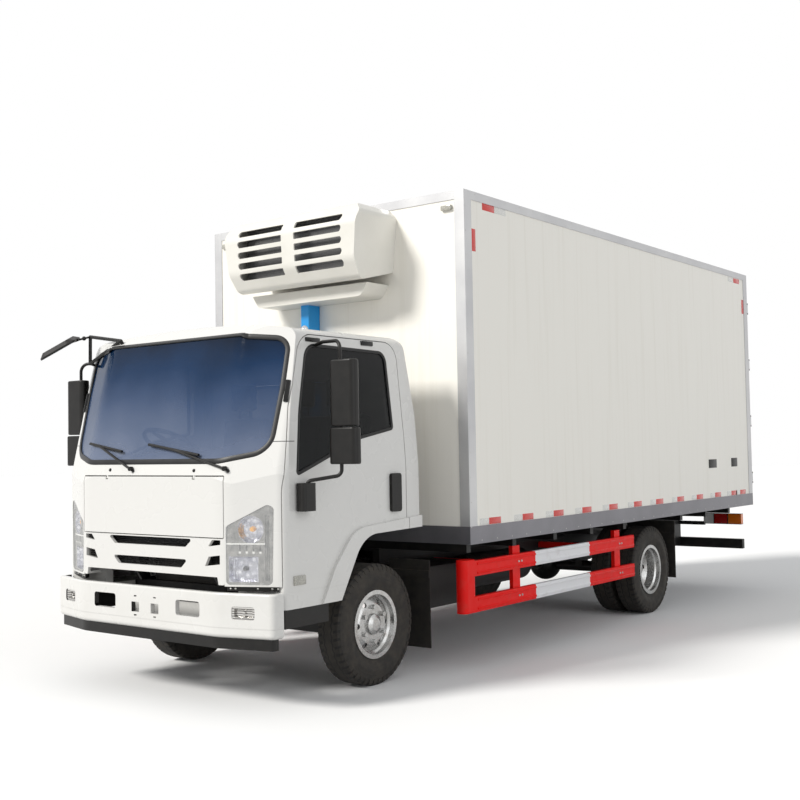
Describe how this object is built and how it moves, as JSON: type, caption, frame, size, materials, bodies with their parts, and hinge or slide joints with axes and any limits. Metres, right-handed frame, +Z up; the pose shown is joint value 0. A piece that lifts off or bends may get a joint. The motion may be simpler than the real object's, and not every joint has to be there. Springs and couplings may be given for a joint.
{
  "type": "refrigerated truck",
  "caption": "Cab-over refrigerated box truck with tilting cab, ladder frame, dual rear wheels, insulated box with rear doors and a front-wall cooling unit.",
  "frame": {"origin": "middle of the overall length and width, on the ground under the tyres", "axes": "+Z up, -Y to the front of the truck, +X to the truck's left side"},
  "size_m": [2.705, 7.294, 3.306],
  "materials": {
    "white_paint": "gloss",
    "box_skin": "satin",
    "edge_aluminium": "satin",
    "chassis_paint": "satin",
    "cast_iron": "rough",
    "tyre_rubber": "matte",
    "wheel_silver": "satin",
    "guard_red": "satin",
    "exhaust_steel": "brushed",
    "stainless": "brushed",
    "flap_rubber": "matte",
    "black_plastic": "matte",
    "window_glass": "gloss",
    "lamp_lens": "gloss",
    "seat_cloth": "matte",
    "blue_cover": "satin",
    "evaporator_case": "satin"
  },
  "bodies": {
    "chassis": {"frame": "chassis_paint", "powertrain": "cast_iron", "axles": "chassis_paint", "bumper": "white_paint", "bumper_valance": "black_plastic", "road_lamps": "lamp_lens", "side_guards": "guard_red", "tanks": "chassis_paint", "exhaust": "exhaust_steel", "mudflaps": "flap_rubber", "underrun_bar": "chassis_paint", "box_subframe": "chassis_paint", "box_floor": "edge_aluminium", "box_walls": "box_skin", "box_roof": "box_skin", "box_edges": "edge_aluminium", "rear_frame": "edge_aluminium", "rear_hinges": "chassis_paint", "unit_cover": "white_paint", "unit_coil": "edge_aluminium", "unit_tray": "white_paint", "hose_cover": "blue_cover", "evaporator": "evaporator_case"},
    "cab": {"cab_shell": "white_paint", "cab_floor": "white_paint", "cab_glass": "window_glass", "headlamps": "lamp_lens", "headlamp_covers": "window_glass", "front_grille": "white_paint", "lamp_sills": "black_plastic", "front_mirror": "black_plastic", "dashboard": "black_plastic", "seats": "seat_cloth", "cab_steps": "chassis_paint", "wipers": "black_plastic"},
    "steering_wheel": {"steering_wheel": "black_plastic"},
    "front_lid": {"front_lid": "white_paint"},
    "door_left": {"door_left": "white_paint", "door_left_glass": "window_glass", "door_left_fittings": "black_plastic"},
    "knuckle_left": {"knuckle_left": "cast_iron"},
    "front_wheel_left": {"front_wheel_left": "wheel_silver", "front_tyre_left": "tyre_rubber"},
    "rear_wheels_left": {"rear_wheels_left": "wheel_silver", "rear_tyres_left": "tyre_rubber"},
    "cargo_door_left": {"cargo_door_left": "box_skin", "cargo_locks_left": "stainless"},
    "door_right": {"door_right": "white_paint", "door_right_glass": "window_glass", "door_right_fittings": "black_plastic"},
    "knuckle_right": {"knuckle_right": "cast_iron"},
    "front_wheel_right": {"front_wheel_right": "wheel_silver", "front_tyre_right": "tyre_rubber"},
    "rear_wheels_right": {"rear_wheels_right": "wheel_silver", "rear_tyres_right": "tyre_rubber"},
    "cargo_door_right": {"cargo_door_right": "box_skin", "cargo_locks_right": "stainless"}
  },
  "joints": [
    {"name": "steer_left", "type": "hinge", "parent": "chassis", "child": "knuckle_left", "pos_m": [0.69, -2.4975, 0.389], "axis": [0, 0, 1], "range_deg": [-38, 38]},
    {"name": "front_wheel_left_spin", "type": "hinge", "parent": "knuckle_left", "child": "front_wheel_left", "pos_m": [0.83, -2.4975, 0.389], "axis": [1, 0, 0], "continuous": true},
    {"name": "rear_wheels_left_spin", "type": "hinge", "parent": "chassis", "child": "rear_wheels_left", "pos_m": [0.887, 1.3175, 0.389], "axis": [1, 0, 0], "continuous": true},
    {"name": "door_left_hinge", "type": "hinge", "parent": "cab", "child": "door_left", "pos_m": [0.992, -3.4425, 1.4], "axis": [0, 0, -1], "range_deg": [0, 70]},
    {"name": "cargo_door_left_hinge", "type": "hinge", "parent": "chassis", "child": "cargo_door_left", "pos_m": [1.205, 3.6305, 2.05], "axis": [0, 0, -1], "range_deg": [0, 250]},
    {"name": "steer_right", "type": "hinge", "parent": "chassis", "child": "knuckle_right", "pos_m": [-0.69, -2.4975, 0.389], "axis": [0, 0, 1], "range_deg": [-38, 38]},
    {"name": "front_wheel_right_spin", "type": "hinge", "parent": "knuckle_right", "child": "front_wheel_right", "pos_m": [-0.83, -2.4975, 0.389], "axis": [1, 0, 0], "continuous": true},
    {"name": "rear_wheels_right_spin", "type": "hinge", "parent": "chassis", "child": "rear_wheels_right", "pos_m": [-0.887, 1.3175, 0.389], "axis": [1, 0, 0], "continuous": true},
    {"name": "door_right_hinge", "type": "hinge", "parent": "cab", "child": "door_right", "pos_m": [-0.992, -3.4425, 1.4], "axis": [0, 0, 1], "range_deg": [0, 70]},
    {"name": "cargo_door_right_hinge", "type": "hinge", "parent": "chassis", "child": "cargo_door_right", "pos_m": [-1.205, 3.6305, 2.05], "axis": [0, 0, 1], "range_deg": [0, 250]},
    {"name": "cab_tilt", "type": "hinge", "parent": "chassis", "child": "cab", "pos_m": [0, -3.3975, 0.85], "axis": [1, 0, 0], "range_deg": [0, 45]},
    {"name": "front_lid_hinge", "type": "hinge", "parent": "cab", "child": "front_lid", "pos_m": [0, -3.6005, 1.371], "axis": [-1, 0, 0], "range_deg": [0, 80]},
    {"name": "steering_wheel_turn", "type": "hinge", "parent": "cab", "child": "steering_wheel", "pos_m": [-0.45, -3.0175, 1.58], "axis": [0, 0.5, 0.866], "range_deg": [-540, 540]}
  ],
  "couplings": [
    {"joint": "steer_right", "follows": "steer_left", "ratio": 1},
    {"joint": "steering_wheel_turn", "follows": "steer_left", "ratio": 14.2}
  ]
}
